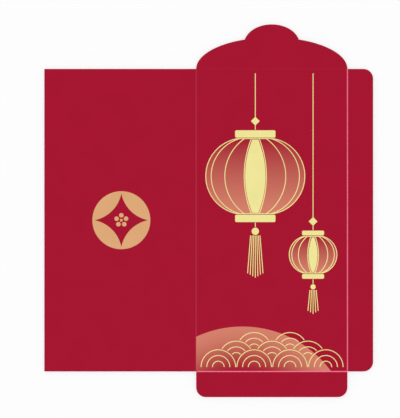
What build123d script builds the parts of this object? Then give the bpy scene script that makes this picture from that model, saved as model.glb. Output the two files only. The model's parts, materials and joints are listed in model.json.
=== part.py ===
"""Red gift envelope as a flat, die-cut blank with its printed side up.

The origin is at the centre of the front panel's underside, on the surface the blank lies on. +X points to the
side flap, +Y to the top flap and +Z up from the printed side. All sizes are in millimetres.

The sheet is five stiff panels joined by four scored strips. Each strip is the paper that goes round one fold, so
its width follows from the layers that the fold closes over:
    side flap      folds first, over nothing
    back panel     folds second, over the side flap
    bottom flap    folds last, over the back panel and the side flap
    top flap       folds last, over the back panel and the side flap
"""

import os
from dataclasses import dataclass
from math import asin, atan2, degrees, hypot, pi

from build123d import *

os.makedirs("parts", exist_ok=True)

# Sheet
paper = 0.30  # thickness of the coated paper
layer_gap = 0.10  # air left between the layers of the folded envelope

# Panels, measured from the crease lines
front_width = 82.5
front_height = 165.0
back_width = 82.8  # a sheet thickness wider than the front, so that it covers the side fold
side_width = 14.0
bottom_depth = 14.0
corner_radius = 5.3  # free corners of the side and bottom flaps
shoulder_rise = 17.2  # half ellipse as wide as the front panel
lobe_half_width = 15.2
lobe_half_height = 10.9
lobe_centre = 13.4  # from the top crease to the middle of the lobe

# Score pressed into the printed side along each crease
score_width = 0.40
score_depth = 0.10

# Dried glue, level with the unprinted side
glue_film = 0.05
glue_edge_margin = 2.5  # from a free edge of the sheet
glue_crease_margin = 3.0  # from a crease, or from the end of the lap
glue_end_margin = 7.0  # from the ends of the panel

# Hot-stamped foil
foil = 0.03
foil_line = 0.45  # width of a drawn line
foil_gap = 0.30  # bare paper between neighbouring pieces of foil
foil_margin = 1.5  # bare paper along the edges of the front face

# Coin emblem on the envelope's back
coin_radius = 15.8
coin_from_crease = 40.8  # from the back crease to the coin's centre
coin_rim = 1.2  # foil left outside the points of the star
star_waist = 7.2  # from the coin's centre to the nearest point of the star's sides
petal_count = 5
petal_radius = 1.25
petal_ring = 2.7  # from the blossom's centre to the middle of a petal
blossom_heart = 0.8

# Lanterns on the front
rib_angles = (13.0, 38.0, 63.0, 90.0)  # how far round the lantern each rib lies, from its middle
large_half_width = 27.0
large_half_height = 20.5
large_neck = 9.5
large_cap_height = 4.0
large_cap_overhang = 1.5
large_bead = 2.0
large_tassel = 23.0
large_strands = 7
large_left_margin = 5.25  # from the back crease to the lantern's side
large_drop = 58.5  # from the top crease to the lantern's middle
small_half_width = 13.0
small_half_height = 10.0
small_neck = 5.0
small_cap_height = 2.6
small_cap_overhang = 1.0
small_bead = 1.4
small_tassel = 13.0
small_strands = 5
small_right_margin = 5.75  # from the side crease to the lantern's side
small_clearance = 10.0  # from the waves to the end of the tassel
knot_half = 2.4  # half diagonal of the knot on each hanging cord
knot_rise = 5.0  # from the cap to the middle of the knot
tassel_link = 3.0  # cord between the lower cap and the bead
cap_corner = 0.8
strand_root_pitch = 0.85
strand_tip_pitch = 1.40
strand_step = 0.8  # each strand is this much shorter than the one inside it

# Waves along the foot of the front
wave_radius = 9.4
wave_rise = 4.7  # each row stands this much higher than the one before it
wave_rows = 3
wave_rings = 3
wave_ring_step = 3.1


def fold_drop(layers):
    """Depth of the fold's axis below the sheet, when the fold closes over this many layers."""
    return (layers * paper + (layers + 1) * layer_gap) / 2


def strip_width(layers):
    """Length of paper, at mid-thickness, that goes half-way round such a fold."""
    return pi * (fold_drop(layers) + paper / 2)


side_strip = strip_width(0)
back_strip = strip_width(1)
end_strip = strip_width(2)

# Edges of the flat front face, between the scored strips
face_left = (back_strip - front_width) / 2
face_right = (front_width - side_strip) / 2
face_top = (front_height - end_strip) / 2
face_bottom = -face_top


def box_outline(left, right, bottom, top):
    """Rectangle between four edges."""
    return Pos((left + right) / 2, (bottom + top) / 2) * Rectangle(right - left, top - bottom)


def panel(outline):
    """Sheet of paper with this outline, lying on the ground plane."""
    return extrude(outline, amount=paper)


def glue(outline):
    """Film of dried glue with this outline, level with the underside of the sheet."""
    return extrude(outline, amount=glue_film)


def foil_film(outline):
    """Foil with this outline, on the printed side."""
    return Pos(0, 0, paper) * extrude(outline, amount=foil)


def stroke(line):
    """Foil line of even width along an edge, with square ends."""
    return trace(line, foil_line)


# Panels


def front_outline():
    return box_outline(face_left, face_right, face_bottom, face_top)


def back_outline():
    free_edge = -front_width / 2 - back_width
    crease_edge = -(front_width + back_strip) / 2
    return box_outline(free_edge, crease_edge, -front_height / 2, front_height / 2)


def side_outline():
    crease_edge = (front_width + side_strip) / 2
    free_edge = front_width / 2 + side_width
    blank = box_outline(crease_edge, free_edge, -front_height / 2, front_height / 2)
    return fillet(blank.vertices().group_by(Axis.X)[-1], corner_radius)


def bottom_outline():
    crease_edge = -(front_height + end_strip) / 2
    free_edge = -front_height / 2 - bottom_depth
    blank = box_outline(-front_width / 2, front_width / 2, free_edge, crease_edge)
    return fillet(blank.vertices().group_by(Axis.Y)[0], corner_radius)


def shoulder_outline():
    """Ellipse as wide as the front panel, about the middle of the top crease."""
    return Pos(0, front_height / 2) * Ellipse(front_width / 2, shoulder_rise)


def top_outline():
    """Elliptical shoulders with a lobe in the middle, cut off where the scored strip begins."""
    crease = front_height / 2
    lobe = Pos(0, crease + lobe_centre) * Ellipse(lobe_half_width, lobe_half_height)
    below = box_outline(-front_width, front_width, -front_height, crease + end_strip / 2)
    return shoulder_outline() + lobe - below


# Scored strips


def score(length):
    """Round groove along Y, as a blunt rule presses it into the printed side."""
    lip = score_width / 2
    bed = ThreePointArc((-lip, paper), (0, paper - score_depth), (lip, paper))
    section = Plane.XZ * make_face([bed, Line(bed @ 1, bed @ 0)])
    return extrude(section, amount=length / 2, both=True)


def upright_crease(crease_x, width):
    """Scored strip along Y, as tall as the front panel."""
    half = width / 2
    strip = panel(box_outline(crease_x - half, crease_x + half, -front_height / 2, front_height / 2))
    return strip - Pos(crease_x, 0) * score(front_height)


def end_crease(front_half, flap_half, crease_y):
    """Scored strip along X: one half fits between the upright strips, the other is as wide as its flap."""
    return panel(front_half + flap_half) - Pos(0, crease_y) * Rot(0, 0, 90) * score(front_width)


def bottom_crease():
    crease = -front_height / 2
    front_half = box_outline(face_left, face_right, crease, face_bottom)
    flap_half = box_outline(-front_width / 2, front_width / 2, crease - end_strip / 2, crease)
    return end_crease(front_half, flap_half, crease)


def top_crease():
    crease = front_height / 2
    front_half = box_outline(face_left, face_right, face_top, crease)
    flap_half = shoulder_outline() & box_outline(-front_width, front_width, crease, crease + end_strip / 2)
    return end_crease(front_half, flap_half, crease)


# Glue


def seam_glue_outline():
    """Along the free edge of the back panel, where it laps over the side flap."""
    free_edge = -front_width / 2 - back_width
    end = front_height / 2 - glue_end_margin
    return box_outline(free_edge + glue_edge_margin, free_edge + side_width - glue_crease_margin, -end, end)


def bottom_glue_outline():
    """Along the bottom flap, clear of its round corners."""
    crease = -front_height / 2
    end = front_width / 2 - glue_end_margin
    return box_outline(-end, end, crease - bottom_depth + glue_edge_margin, crease - glue_crease_margin)


# Foil on the back


def coin_outline():
    """Disc with a four-pointed star cut out of it."""
    tip = coin_radius - coin_rim
    waist = star_waist / 2**0.5
    side = ThreePointArc((tip, 0), (waist, waist), (0, tip))
    star = make_face([Rot(0, 0, 90 * turn) * side for turn in range(4)])
    return Circle(coin_radius) - star


def blossom_outline():
    """Five separate petals about a heart."""
    petals = PolarLocations(petal_ring, petal_count, start_angle=90) * Circle(petal_radius)
    return Sketch() + [*petals, Circle(blossom_heart)]


coin_place = Pos(-front_width / 2 - coin_from_crease, 0)


# Foil on the front: waves


wave_pitch = 2 * wave_radius + foil_line + foil_gap
wave_clear = foil_line + foil_gap
first_row = int((face_right - face_left - 2 * foil_margin - 2 * wave_radius - foil_line) // wave_pitch) + 1
wave_foot = face_bottom + foil_margin
wave_top = wave_foot + (wave_rows - 1) * wave_rise + wave_radius + foil_line / 2


def scallops():
    """Row number and centre of every scallop, with one fewer in each row behind."""
    middle = (face_left + face_right) / 2
    for row in range(wave_rows):
        count = first_row - row
        for place in range(count):
            yield row, middle + (place - (count - 1) / 2) * wave_pitch, wave_foot + row * wave_rise


def hidden_angle(ring):
    """Angle up to which a ring is hidden by the scallop beside it in the row in front."""
    reach = wave_radius + wave_clear
    aside = wave_pitch / 2
    level = (reach**2 - ring**2 - aside**2 - wave_rise**2) / (2 * ring * hypot(aside, wave_rise))
    return degrees(atan2(aside, wave_rise) + asin(level))


def wave_outline():
    lines = []
    for row, x, y in scallops():
        for step in range(wave_rings):
            ring = wave_radius - step * wave_ring_step
            start = hidden_angle(ring) if row else 0
            lines.append(stroke(CenterArc((x, y), ring, start, 180 - 2 * start)))
    return Sketch() + lines


def wave_cover():
    """Area that the waves hide, with bare paper round them."""
    discs = [Pos(x, y) * Circle(wave_radius + wave_clear) for _, x, y in scallops()]
    return Sketch() + discs


# Foil on the front: lanterns


@dataclass
class Lantern:
    x: float
    y: float
    half_width: float
    half_height: float
    neck: float
    cap_height: float
    cap_overhang: float
    bead: float
    tassel: float
    strands: int

    @property
    def cap_end(self):
        return self.half_height + foil_line / 2 + foil_gap + self.cap_height

    @property
    def bead_middle(self):
        return self.cap_end + tassel_link + self.bead

    @property
    def strand_root(self):
        return self.bead_middle + self.bead + foil_gap

    @property
    def foot(self):
        return self.strand_root + self.tassel

    def meridian(self, share, inset=0.0):
        """Curve from the upper to the lower neck, at a share of the lantern's half width."""
        neck = share * self.neck - inset
        belly = share * self.half_width - inset
        top = self.half_height - abs(inset)
        return ThreePointArc((neck, top), (belly, 0), (neck, -top))

    def gore(self, share, inset=0.0):
        """Face between a meridian and its mirror image."""
        right = self.meridian(share, inset)
        left = self.meridian(-share, -inset)
        return make_face([right, left, Line(right @ 0, left @ 0), Line(right @ 1, left @ 1)])

    def place(self, outline):
        return Pos(self.x, self.y) * outline


def sine(angle):
    """Share of the half width at which a rib this far round the lantern is seen."""
    return Vector(1, 0).rotate(Axis.Z, angle).Y


def rib_outline(lantern):
    """Ribs on both sides of the middle, tied by a line at each neck."""
    lines = []
    for angle in rib_angles:
        lines.append(stroke(lantern.meridian(sine(angle))))
        lines.append(stroke(lantern.meridian(-sine(angle))))
    for level in (lantern.half_height, -lantern.half_height):
        lines.append(stroke(Line((-lantern.neck, level), (lantern.neck, level))))
    return lantern.place(Sketch() + lines)


def pane_outline(lantern):
    """Foil that fills the middle gore between its two ribs."""
    return lantern.place(lantern.gore(sine(rib_angles[0]), foil_line / 2 + foil_gap))


def cap_outline(lantern):
    """Rounded bar above and below the ribs."""
    width = 2 * (lantern.neck + lantern.cap_overhang)
    middle = lantern.cap_end - lantern.cap_height / 2
    bar = RectangleRounded(width, lantern.cap_height, cap_corner)
    return lantern.place(Sketch() + [Pos(0, middle) * bar, Pos(0, -middle) * bar])


def lantern_cover(lantern):
    """Area that a lantern hides, with a little bare paper round it."""
    body = lantern.place(lantern.gore(1))
    return offset(body, foil_line / 2 + foil_gap) + offset(cap_outline(lantern), foil_gap / 2)


def cord_outline(lantern):
    """Hanging cord from the edge of the face to the upper cap, with a knot on it."""
    low = lantern.y + lantern.cap_end + foil_gap
    cord = stroke(Line((lantern.x, low), (lantern.x, face_top - foil_margin)))
    middle = lantern.y + lantern.cap_end + knot_rise
    knot = Pos(lantern.x, middle) * Rot(0, 0, 45) * Rectangle(knot_half * 2**0.5, knot_half * 2**0.5)
    return cord + knot


def tassel_outline(lantern):
    """Link, bead and strands that hang from the lower cap."""
    link_top = -lantern.cap_end - foil_gap
    link_end = -lantern.cap_end - tassel_link + foil_gap
    link = stroke(Line((0, link_top), (0, link_end)))
    pieces = [link, Pos(0, -lantern.bead_middle) * Circle(lantern.bead)]
    for strand in range(lantern.strands):
        aside = strand - (lantern.strands - 1) / 2
        length = lantern.tassel - abs(aside) * strand_step
        root = (aside * strand_root_pitch, -lantern.strand_root)
        tip = (aside * strand_tip_pitch, -lantern.strand_root - length)
        pieces.append(stroke(Line(root, tip)))
    return lantern.place(Sketch() + pieces)


large = Lantern(
    x=-front_width / 2 + large_left_margin + large_half_width,
    y=front_height / 2 - large_drop,
    half_width=large_half_width,
    half_height=large_half_height,
    neck=large_neck,
    cap_height=large_cap_height,
    cap_overhang=large_cap_overhang,
    bead=large_bead,
    tassel=large_tassel,
    strands=large_strands,
)
small = Lantern(
    x=front_width / 2 - small_right_margin - small_half_width,
    y=0,
    half_width=small_half_width,
    half_height=small_half_height,
    neck=small_neck,
    cap_height=small_cap_height,
    cap_overhang=small_cap_overhang,
    bead=small_bead,
    tassel=small_tassel,
    strands=small_strands,
)
small.y = wave_top + small_clearance + small.foot

# From front to back: waves, small lantern, large lantern, then the cords and tassels
small_cover = lantern_cover(small)
both_covers = small_cover + lantern_cover(large)
large_ribs = rib_outline(large) - small_cover
panes = pane_outline(large) - small_cover + pane_outline(small)
caps = cap_outline(large) - small_cover + cap_outline(small)
cords = cord_outline(large) + cord_outline(small) - both_covers
tassels = tassel_outline(large) + tassel_outline(small) - both_covers - wave_cover()

seam_glue = glue(seam_glue_outline())
bottom_glue = glue(bottom_glue_outline())

nodes = {
    "front_panel": panel(front_outline()),
    "back_panel": panel(back_outline()) - seam_glue,
    "side_flap": panel(side_outline()),
    "bottom_flap": panel(bottom_outline()) - bottom_glue,
    "top_flap": panel(top_outline()),
    "back_crease": upright_crease(-front_width / 2, back_strip),
    "side_crease": upright_crease(front_width / 2, side_strip),
    "bottom_crease": bottom_crease(),
    "top_crease": top_crease(),
    "seam_glue": seam_glue,
    "bottom_glue": bottom_glue,
    "coin_foil": foil_film(coin_place * coin_outline()),
    "coin_blossom_foil": foil_film(coin_place * blossom_outline()),
    "large_lantern_foil": foil_film(large_ribs),
    "small_lantern_foil": foil_film(rib_outline(small)),
    "lantern_panes_foil": foil_film(panes),
    "lantern_caps_foil": foil_film(caps),
    "lantern_cords_foil": foil_film(cords),
    "tassels_foil": foil_film(tassels),
    "wave_foil": foil_film(wave_outline()),
}

for name, node in nodes.items():
    export_step(node, f"parts/{name}.step")
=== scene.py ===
# %% [markdown]
# # A red gift envelope, laid out flat
# The real thing is one sheet of coated paper, printed red, stamped with foil, cut by a die and scored
# on four lines. Folded on those lines it becomes a pocket for banknotes. Here it lies open, printed
# side up. The CAD frame gives the pieces' places and outer sizes, and this script gives the sheet its
# paper, ink, foil and glue.

# %% Load the frame
import json
import math
import random

import bmesh
import bpy
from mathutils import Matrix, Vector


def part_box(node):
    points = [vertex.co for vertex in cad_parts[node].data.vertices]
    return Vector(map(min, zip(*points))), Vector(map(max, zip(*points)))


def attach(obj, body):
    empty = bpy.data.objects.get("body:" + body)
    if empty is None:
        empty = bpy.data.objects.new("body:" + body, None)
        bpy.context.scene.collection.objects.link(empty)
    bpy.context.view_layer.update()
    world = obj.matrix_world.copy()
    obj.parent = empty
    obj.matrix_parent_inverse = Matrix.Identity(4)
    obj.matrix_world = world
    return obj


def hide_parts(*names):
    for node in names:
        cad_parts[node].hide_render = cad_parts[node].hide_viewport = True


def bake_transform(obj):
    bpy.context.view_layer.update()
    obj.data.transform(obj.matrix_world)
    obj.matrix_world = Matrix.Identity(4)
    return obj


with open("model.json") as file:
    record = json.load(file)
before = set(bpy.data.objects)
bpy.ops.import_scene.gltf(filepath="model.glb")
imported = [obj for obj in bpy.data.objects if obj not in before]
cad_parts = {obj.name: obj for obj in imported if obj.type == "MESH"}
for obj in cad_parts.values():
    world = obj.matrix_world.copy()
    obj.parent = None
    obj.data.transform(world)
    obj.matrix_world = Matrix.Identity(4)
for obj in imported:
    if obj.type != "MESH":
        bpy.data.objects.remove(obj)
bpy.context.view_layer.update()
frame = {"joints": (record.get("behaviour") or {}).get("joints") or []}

MM = 0.001
folds = {joint["name"]: joint["pos_m"] for joint in frame["joints"]}
LEFT = folds["back_fold"][0]
RIGHT = folds["side_fold"][0]
BOTTOM = folds["bottom_fold"][1]
TOP = folds["top_fold"][1]
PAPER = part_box("front_panel")[1].z
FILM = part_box("coin_foil")[1].z - PAPER
print(f"front {(RIGHT - LEFT) / MM:.1f} x {(TOP - BOTTOM) / MM:.1f} mm, paper {PAPER / MM:.2f} mm")

# %% [markdown]
# ## Camera
# The photograph looks straight down, and its crease lines stay parallel. An orthographic camera would
# do, but a long lens from high up sees nearly the same and works from other sides too. The crease lines'
# places in the picture give both the scale and the point under the camera.

# %% Camera
PICTURE_WIDTH = 400
PICTURE_HEIGHT = 418
LEFT_PIXEL = 196.1
RIGHT_PIXEL = 347.5
TOP_PIXEL = 68.9
BOTTOM_PIXEL = 371.5
CAMERA_HEIGHT = 1.2
SENSOR_HEIGHT = 24  # mm, as in a full-frame camera
pixel = (TOP - BOTTOM) / (BOTTOM_PIXEL - TOP_PIXEL)


def new_object(name, data):
    """Object in the scene that shows this camera, lamp, mesh or curve."""
    made = bpy.data.objects.new(name, data)
    bpy.context.scene.collection.objects.link(made)
    return made


lens = bpy.data.cameras.new("camera")
lens.sensor_fit = "VERTICAL"
lens.sensor_height = SENSOR_HEIGHT
lens.lens = SENSOR_HEIGHT * CAMERA_HEIGHT / (PICTURE_HEIGHT * pixel)
camera = new_object("camera", lens)
camera.location.x = (PICTURE_WIDTH - LEFT_PIXEL - RIGHT_PIXEL) / 2 * pixel
camera.location.y = (TOP_PIXEL + BOTTOM_PIXEL - PICTURE_HEIGHT) / 2 * pixel
camera.location.z = PAPER + CAMERA_HEIGHT
bpy.context.scene.camera = camera
bpy.context.scene.view_settings.view_transform = "Standard"
print(f"one pixel is {pixel / MM:.3f} mm, lens {lens.lens:.0f} mm")

# %% [markdown]
# ## Nodes and colours
# Every material and every Geometry Nodes tree is wired with the one function below. A value in its
# table of inputs is set on the socket, another node's output is linked to it, and a list of outputs is
# linked one by one. It returns an output, so that calls can be nested like a formula.

# %% Node and colour helpers
FACTOR, COLOUR_A, COLOUR_B, MIXED = 0, 6, 7, 2  # sockets of a Mix node that mixes colours
SMOOTH, MOTTLED, TOOTHED, FIBROUS = 2.0, 3.0, 4.0, 6.0  # how many finer layers a noise adds


def add(tree, kind, inputs=None, out=0, **settings):
    """Adds a node with its settings, values and links, and returns one of its outputs."""
    node = tree.nodes.new(kind)
    for name, value in settings.items():
        setattr(node, name, value)
    for name, value in (inputs or {}).items():
        for part in value if isinstance(value, list) else [value]:
            if isinstance(part, bpy.types.NodeSocket):
                tree.links.new(part, node.inputs[name])
            else:
                node.inputs[name].default_value = part
    return node.outputs[out] if node.outputs else None


def linear(code):
    """Linear colour of an sRGB hex value."""
    shares = [int(code[place : place + 2], 16) / 255 for place in (1, 3, 5)]
    return tuple(s / 12.92 if s <= 0.04045 else ((s + 0.055) / 1.055) ** 2.4 for s in shares) + (1.0,)


def per(size):
    """Scale of a texture whose marks are this many millimetres apart."""
    return 1 / (size * MM)


def new_material(name):
    """Material with an empty node tree."""
    made = bpy.data.materials.new(name)
    made.use_nodes = True
    made.node_tree.nodes.clear()
    return made


print(f"half grey is {linear('#808080')[0]:.3f} in linear light")

# %% [markdown]
# ## Studio light
# The photograph has plain soft light and nothing around the sheet. A picture of a studio could light
# it, but an even world and two wide lamps are enough for a flat sheet, and a colour then renders about
# as it is written. What the camera, a glossy surface or glass sees of the world is plain white, so the
# foil has white to reflect.

# %% World
AMBIENT = 0.89
WHITE = (1.0, 1.0, 1.0, 1.0)


def seen_rays(tree):
    """1 for a ray from the camera or from a glossy or clear surface, 0 for light on a matt one."""
    rays = add(tree, "ShaderNodeLightPath").node.outputs
    seen = rays["Is Camera Ray"]
    for kind in ("Is Glossy Ray", "Is Transmission Ray"):
        seen = add(tree, "ShaderNodeMath", {0: seen, 1: rays[kind]}, operation="MAXIMUM")
    return seen


world = bpy.data.worlds.new("studio")
world.use_nodes = True
bpy.context.scene.world = world
sky = world.node_tree
sky.nodes.clear()
soft = add(sky, "ShaderNodeBackground", {"Color": WHITE, "Strength": AMBIENT})
plain = add(sky, "ShaderNodeBackground", {"Color": WHITE, "Strength": 1.0})
both = add(sky, "ShaderNodeMixShader", {0: seen_rays(sky), 1: soft, 2: plain})
add(sky, "ShaderNodeOutputWorld", {"Surface": both})
print(f"world: strength {AMBIENT} on matt surfaces, 1.0 where it is seen")

# %% Lamps
LAMP_SIZE = 3.6  # so wide that no lamp shows as a hard spot in the foil
LAMPS = {"key_lamp": ((-1.60, 1.40, 1.70), 11.0), "fill_lamp": ((1.70, -1.10, 1.60), 6.0)}

for name, (place, watts) in LAMPS.items():
    lamp = bpy.data.lights.new(name, "AREA")
    lamp.energy = watts
    lamp.size = LAMP_SIZE
    lamp_object = new_object(name, lamp)
    lamp_object.location = place
    aim = -lamp_object.location
    lamp_object.rotation_euler = aim.to_track_quat("-Z", "Y").to_euler()
    print(f"{name}: {watts} W, {lamp_object.location.length:.1f} m away")

# %% [markdown]
# ## Table
# The sheet lies on a white table, which the photograph shows as pure white. More light would bleach
# the sheet too, so the table itself glows a little where it is seen, and still keeps the sheet's soft
# shadow. A half turn takes a flap to twice the depth of its fold, and the table lies just below the
# deepest.

# %% Table
TABLE_CLEARANCE = 0.05 * MM
TABLE_DROP = PAPER - 2 * min(place[2] for place in folds.values()) + TABLE_CLEARANCE
TABLE_HALF = 3.0
TABLE_COLOUR = "#FCFCFC"
TABLE_WHITE = 0.6  # share of plain white where the table is seen

# White laminate: matt and even, so it shows nothing but the sheet's soft shadow.
laminate = new_material("white_laminate")
tree = laminate.node_tree
seen = add(tree, "ShaderNodeMath", {0: seen_rays(tree), 1: TABLE_WHITE}, operation="MULTIPLY")
matt = add(tree, "ShaderNodeBsdfDiffuse", {"Color": linear(TABLE_COLOUR)})
glow = add(tree, "ShaderNodeEmission", {"Color": WHITE, "Strength": 1.0})
surface = add(tree, "ShaderNodeMixShader", {0: seen, 1: matt, 2: glow})
add(tree, "ShaderNodeOutputMaterial", {"Surface": surface})

corners = [(-1, -1), (1, -1), (1, 1), (-1, 1)]
plane = bpy.data.meshes.new("table")
plane.from_pydata([(x * TABLE_HALF, y * TABLE_HALF, -TABLE_DROP) for x, y in corners], [], [(0, 1, 2, 3)])
plane.materials.append(laminate)
table = new_object("table", plane)
print(f"table {TABLE_DROP / MM:.2f} mm under the sheet")

# %% [markdown]
# ## What is printed on the front
# Two paper lanterns hang over rows of scallop waves, a generic festive design. Their lines and solid
# parts are stamped in foil, and their bodies are printed in a tint that fades upwards. Ink and foil
# have to meet, so both take their sizes from here, in millimetres. The frame gives each lantern's place
# and outer size, and the smaller sizes are those that its foil has in the CAD model.

# %% Lantern sizes
LINE = 0.45  # width of a foil line
GAP = 0.30  # bare paper between pieces of foil


class Lantern:
    """Sizes of a lantern whose ribs are this CAD node, with its middle at x and y."""

    def __init__(self, node, neck, cap_height, overhang, bead, tassel, strands):
        low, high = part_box(node)
        self.node = node
        self.x, self.y = (low.x + high.x) / 2 / MM, (low.y + high.y) / 2 / MM
        self.half_width = (high.x - low.x) / 2 / MM - LINE / 2
        self.half_height = (high.y - low.y) / 2 / MM - LINE / 2
        self.neck, self.cap_height, self.overhang = neck, cap_height, overhang
        self.bead, self.tassel, self.strands = bead, tassel, strands
        self.cap_end = self.half_height + LINE / 2 + GAP + cap_height


lanterns = (
    Lantern("large_lantern_foil", neck=9.5, cap_height=4.0, overhang=1.5, bead=2.0, tassel=23.0, strands=7),
    Lantern("small_lantern_foil", neck=5.0, cap_height=2.6, overhang=1.0, bead=1.4, tassel=13.0, strands=5),
)
print("lantern widths, mm:", [round(2 * lantern.half_width, 1) for lantern in lanterns])

# %% [markdown]
# ## Tooth of the paper
# Paper has a fine tooth, foil takes it on, and glue dries with a stipple of its own. Gloss and bumps
# could each have a noise, but on a real surface both come from the same relief, so here one noise gives
# both.

# %% Tooth and coat
PAPER_TOOTH = 0.9  # drawn coarser than real fibres, which are about 0.05 mm wide
TOOTH_DEPTH = 0.02 * MM
TOOTH_BUMP = 0.35


def coat(tree, colour, relief, rough, bump, depth, levels=None):
    """Closes a material: its relief sets the roughness, between two values, and the bumps."""
    gloss = add(tree, "ShaderNodeMapRange", {"Value": relief, "To Min": rough[0], "To Max": rough[1]})
    tilt = add(tree, "ShaderNodeBump", {"Height": relief, "Strength": bump, "Distance": depth})
    finish = {"Base Color": colour, "Roughness": gloss, "Normal": tilt, **(levels or {})}
    add(tree, "ShaderNodeOutputMaterial", {"Surface": add(tree, "ShaderNodeBsdfPrincipled", finish)})


print(f"tooth of the paper: {PAPER_TOOTH} mm wide, {TOOTH_DEPTH / MM:.2f} mm deep")

# %% [markdown]
# ## Red printed paper
# Gift envelopes are cut from coated paper, printed solid red and finished with a thin matt varnish. A
# picture of paper could be laid over it, but it would repeat and stretch, so two noises do: a faint
# cloudiness where the ink took unevenly, and a fine tooth that softens every reflection. They read
# where each point lay on the flat sheet, a place stored on the mesh, so they stay put when a crease
# bends.

# %% Red printed paper
RED = "#A3092C"
RED_LIGHT = "#A90A2D"
PRINT_ROUGH = (0.46, 0.64)
PRINT_SPECULAR = 0.08  # a matt varnish scatters what a glossy one would mirror
INK_CLOUD = 14.0


def red_print(name, ink=None):
    """Paper printed red; ink(tree, x, y, colour) may print a design over the red."""
    made = new_material(name)
    tree = made.node_tree
    place = add(tree, "ShaderNodeAttribute", out="Vector", attribute_name="flat_place")
    spread = {"Vector": place, "Scale": per(INK_CLOUD), "Detail": MOTTLED}
    cloud = add(tree, "ShaderNodeTexNoise", spread, noise_dimensions="2D")
    layers = {FACTOR: cloud, COLOUR_A: linear(RED), COLOUR_B: linear(RED_LIGHT)}
    colour = add(tree, "ShaderNodeMix", layers, MIXED, data_type="RGBA")
    if ink:
        scaled = add(tree, "ShaderNodeVectorMath", {0: place, "Scale": 1 / MM}, operation="SCALE")
        flat = add(tree, "ShaderNodeSeparateXYZ", {0: scaled}).node.outputs
        colour = ink(tree, flat["X"], flat["Y"], colour)
    grain = {"Vector": place, "Scale": per(PAPER_TOOTH), "Detail": TOOTHED}
    tooth = add(tree, "ShaderNodeTexNoise", grain, noise_dimensions="2D")
    levels = {"Specular IOR Level": PRINT_SPECULAR}
    coat(tree, colour, tooth, PRINT_ROUGH, TOOTH_BUMP, TOOTH_DEPTH, levels)
    return made


# Coated paper under ink and matt varnish: a deep, even red with a soft sheen.
red_paper = red_print("red_coated_paper")
print("made", red_paper.name)

# %% [markdown]
# ## Glow of the hill
# The tints are screened inks: fine dots that thin out until only the red is left. Real dots are far too
# small to show, so the tint is mixed smoothly into the red. A low hill glows behind the waves. A point
# is on it when it is near enough to the hill's centre, and the ink is full at the rim and thins towards
# the middle. The front's print stops at the creases, so the hill does too.

# %% Hill glow
TINT = "#DC8A72"
HILL_X = -16.0
HILL_Y = -118.0
HILL_RADIUS = 60.0
HILL_FADE = 26.0
HILL_FULL = 0.85  # share of the tint at the rim


def hill_glow(tree, x, y):
    """Share of the tint at a point, for the hill."""
    aside = add(tree, "ShaderNodeMath", {0: x, 1: HILL_X}, operation="SUBTRACT")
    above = add(tree, "ShaderNodeMath", {0: y, 1: HILL_Y}, operation="SUBTRACT")
    spoke = add(tree, "ShaderNodeCombineXYZ", {"X": aside, "Y": above})
    reach = add(tree, "ShaderNodeVectorMath", {0: spoke}, "Value", operation="LENGTH")
    inside = add(tree, "ShaderNodeMath", {0: reach, 1: HILL_RADIUS}, operation="LESS_THAN")
    past_left = add(tree, "ShaderNodeMath", {0: x, 1: LEFT / MM}, operation="GREATER_THAN")
    past_bottom = add(tree, "ShaderNodeMath", {0: y, 1: BOTTOM / MM}, operation="GREATER_THAN")
    on_front = add(tree, "ShaderNodeMath", {0: past_left, 1: past_bottom}, operation="MULTIPLY")
    inside = add(tree, "ShaderNodeMath", {0: inside, 1: on_front}, operation="MULTIPLY")
    fade = {"From Min": HILL_RADIUS - HILL_FADE, "From Max": HILL_RADIUS, "To Max": HILL_FULL}
    rim = add(tree, "ShaderNodeMapRange", {"Value": reach, **fade}, interpolation_type="SMOOTHSTEP")
    return add(tree, "ShaderNodeMath", {0: inside, 1: rim}, operation="MULTIPLY")


print(f"hill top {HILL_Y + HILL_RADIUS - BOTTOM / MM:.1f} mm above the bottom crease")

# %% [markdown]
# ## Glow of the lanterns
# A lantern's body is two arcs that meet a straight neck above and below. A point is inside when it is
# near enough to the arc's centre and between the necks. The ink is full at the foot and gone at the
# top.

# %% Lantern glow
GLOW_FULL = 0.9  # share of the tint at a lantern's foot


def lantern_glow(tree, x, y, lantern):
    """Share of the tint at a point, for one lantern."""
    bulge = lantern.half_width - lantern.neck
    radius = (lantern.half_height**2 + bulge**2) / (2 * bulge)
    centre = lantern.half_width - radius
    aside = add(tree, "ShaderNodeMath", {0: x, 1: lantern.x}, operation="SUBTRACT")
    aside = add(tree, "ShaderNodeMath", {0: aside}, operation="ABSOLUTE")
    aside = add(tree, "ShaderNodeMath", {0: aside, 1: centre}, operation="SUBTRACT")
    aside = add(tree, "ShaderNodeMath", {0: aside, 1: 0.0}, operation="MAXIMUM")
    above = add(tree, "ShaderNodeMath", {0: y, 1: lantern.y}, operation="SUBTRACT")
    spoke = add(tree, "ShaderNodeCombineXYZ", {"X": aside, "Y": above})
    reach = add(tree, "ShaderNodeVectorMath", {0: spoke}, "Value", operation="LENGTH")
    round_part = add(tree, "ShaderNodeMath", {0: reach, 1: radius}, operation="LESS_THAN")
    level = add(tree, "ShaderNodeMath", {0: above}, operation="ABSOLUTE")
    between = add(tree, "ShaderNodeMath", {0: level, 1: lantern.half_height}, operation="LESS_THAN")
    inside = add(tree, "ShaderNodeMath", {0: round_part, 1: between}, operation="MULTIPLY")
    fade = {"From Min": lantern.half_height, "From Max": -lantern.half_height, "To Max": GLOW_FULL}
    fade = add(tree, "ShaderNodeMapRange", {"Value": above, **fade})
    return add(tree, "ShaderNodeMath", {0: inside, 1: fade}, operation="MULTIPLY")


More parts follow.
